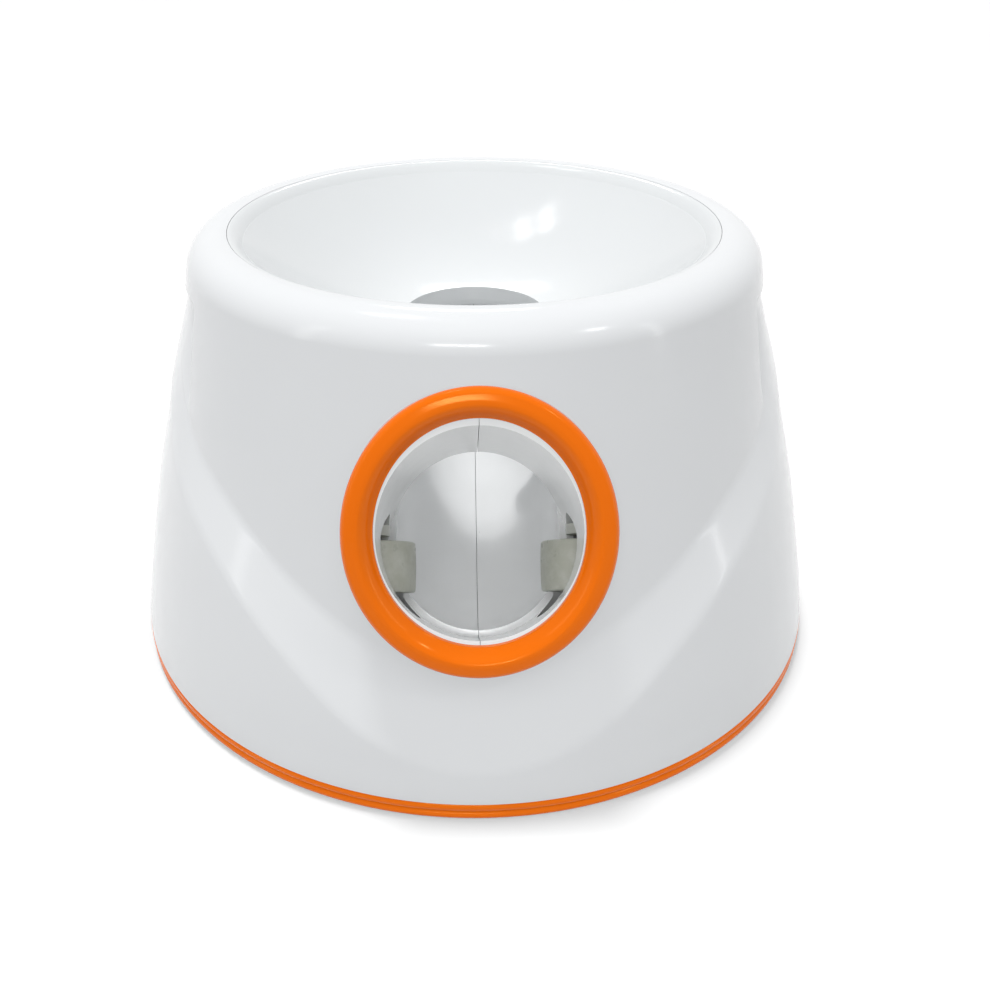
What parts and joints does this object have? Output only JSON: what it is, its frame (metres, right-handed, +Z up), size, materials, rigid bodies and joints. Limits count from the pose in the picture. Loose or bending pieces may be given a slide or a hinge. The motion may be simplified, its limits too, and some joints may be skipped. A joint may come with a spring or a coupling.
{
  "type": "automatic dog ball launcher",
  "caption": "Round tapered ball launcher with a funnel top, an oval ringed muzzle in front, spinning rollers inside a tilted barrel and a small control panel at the back.",
  "frame": {"origin": "on the floor under the middle of the round base", "axes": "+Z up, the muzzle faces -Y, +X to the right as seen from the front"},
  "size_m": [0.2926, 0.2926, 0.168],
  "materials": {
    "white_shell": "glossy moulded white",
    "white_funnel": "glossy moulded white",
    "orange_trim": "glossy moulded orange",
    "white_chute": "satin moulded white",
    "pan_plastic": "fine texture",
    "tyre_rubber": "soft, slightly dusty",
    "hub_plastic": "moulded",
    "motor_steel": "plated sheet",
    "magnet": "sintered ferrite",
    "bushing_brass": "sintered",
    "dark_plastic": "moulded",
    "armature": "lacquered winding",
    "copper_coil": "lacquered winding",
    "pin_steel": "ground",
    "screw_steel": "zinc plated",
    "board_green": "solder mask",
    "component_black": "moulded",
    "panel_grey": "fine satin",
    "button_orange": "moulded",
    "button_grey": "moulded",
    "light_clear": "clear moulded light pipe",
    "feet_rubber": "soft",
    "contact_steel": "nickel plated"
  },
  "bodies": {
    "housing": {"ball_sensor_emitter": "dark_plastic", "ball_sensor_receiver": "dark_plastic", "base_pan": "pan_plastic", "base_ring": "orange_trim", "base_screws": "screw_steel", "battery_contacts": "contact_steel", "battery_door": "pan_plastic", "battery_door_screw": "screw_steel", "board_parts": "component_black", "board_screws": "screw_steel", "buzzer": "component_black", "chute_left": "white_chute", "chute_right": "white_chute", "chute_screws": "screw_steel", "control_panel": "panel_grey", "dc_jack": "component_black", "funnel_bowl": "white_funnel", "funnel_screws": "screw_steel", "gate_solenoid_coil": "copper_coil", "gate_solenoid_frame": "motor_steel", "left_motor_bushings": "bushing_brass", "left_motor_can": "motor_steel", "left_motor_end_cap": "dark_plastic", "left_motor_magnets": "magnet", "main_board": "board_green", "motor_screws": "screw_steel", "mounting_screws": "screw_steel", "muzzle_bezel": "orange_trim", "outer_shell": "white_shell", "panel_board": "board_green", "panel_screws": "screw_steel", "panel_switches": "component_black", "right_motor_bushings": "bushing_brass", "right_motor_can": "motor_steel", "right_motor_end_cap": "dark_plastic", "right_motor_magnets": "magnet", "rubber_feet": "feet_rubber", "status_lights": "light_clear"},
    "left_roller": {"left_roller_tyre": "tyre_rubber", "left_roller_hub": "hub_plastic", "left_motor_rotor": "armature"},
    "right_roller": {"right_roller_tyre": "tyre_rubber", "right_roller_hub": "hub_plastic", "right_motor_rotor": "armature"},
    "gate": {"gate_pin": "pin_steel"},
    "power_switch": {"power_button": "button_orange"},
    "distance_switch": {"distance_button": "button_grey"}
  },
  "joints": [
    {"name": "left_roller_spin", "type": "hinge", "parent": "housing", "child": "left_roller", "pos_m": [-0.04, -0.0894, 0.07734], "axis": [0, 0.6157, 0.788], "continuous": true},
    {"name": "right_roller_spin", "type": "hinge", "parent": "housing", "child": "right_roller", "pos_m": [0.04, -0.0894, 0.07734], "axis": [0, 0.6157, 0.788], "continuous": true},
    {"name": "gate_pin_slide", "type": "slide", "parent": "housing", "child": "gate", "axis": [1, 0, 0], "range_m": [0, 0.0185], "stiffness_N_per_m": 60, "springref_m": -0.01},
    {"name": "power_button_press", "type": "slide", "parent": "housing", "child": "power_switch", "axis": [0, -0.9806, -0.1961], "range_m": [0, 0.0012], "stiffness_N_per_m": 400},
    {"name": "distance_button_press", "type": "slide", "parent": "housing", "child": "distance_switch", "axis": [0, -0.9806, -0.1961], "range_m": [0, 0.0012], "stiffness_N_per_m": 400}
  ]
}
